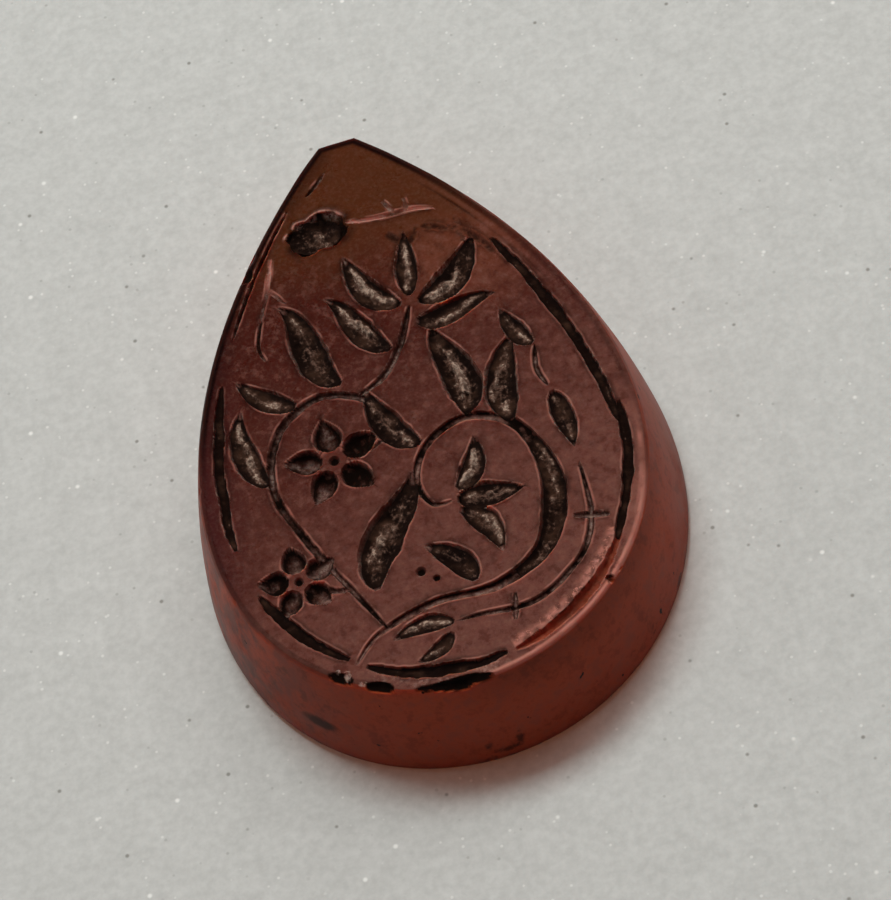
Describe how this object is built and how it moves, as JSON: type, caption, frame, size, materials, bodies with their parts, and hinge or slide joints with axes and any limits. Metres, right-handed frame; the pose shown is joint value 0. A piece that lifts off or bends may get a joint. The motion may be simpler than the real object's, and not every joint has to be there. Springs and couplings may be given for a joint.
{
  "type": "engraved seal stone",
  "caption": "Loose pear-shaped seal stone with a blunted point, a flat face engraved with a leafy scroll inside a broken border line, and a side wall that widens to a flat back.",
  "frame": {"origin": "on the flat back, under the middle of the stone's box", "axes": "+Z out of the engraved face, +Y towards the blunted point, +X to the right of the face seen from above with the point up"},
  "size_m": [0.0166, 0.0238, 0.0043],
  "materials": {
    "carnelian": "gloss",
    "old_residue": "matte"
  },
  "bodies": {
    "root": {"stone": "carnelian", "residue_lotus_middle": "old_residue", "residue_lotus_upper": "old_residue", "residue_lotus_lower": "old_residue", "residue_scroll_inner_leaf": "old_residue", "residue_scroll_right_leaf": "old_residue", "residue_scroll_tall_leaf": "old_residue", "residue_scroll_left_leaf": "old_residue", "residue_broad_leaf": "old_residue", "residue_outer_left_leaf": "old_residue", "residue_shoulder_leaf": "old_residue", "residue_upper_left_leaf": "old_residue", "residue_riser_left_leaf": "old_residue", "residue_riser_right_leaf": "old_residue", "residue_tulip_left": "old_residue", "residue_tulip_middle": "old_residue", "residue_tulip_right": "old_residue", "residue_vine_bud": "old_residue", "residue_vine_leaf": "old_residue", "residue_foot_upper_leaf": "old_residue", "residue_foot_lower_leaf": "old_residue", "residue_scroll_stem": "old_residue", "residue_border_upper_right": "old_residue", "residue_border_right": "old_residue", "residue_border_foot": "old_residue", "residue_border_lower_left": "old_residue", "residue_border_left": "old_residue", "residue_pit": "old_residue"}
  },
  "joints": []
}
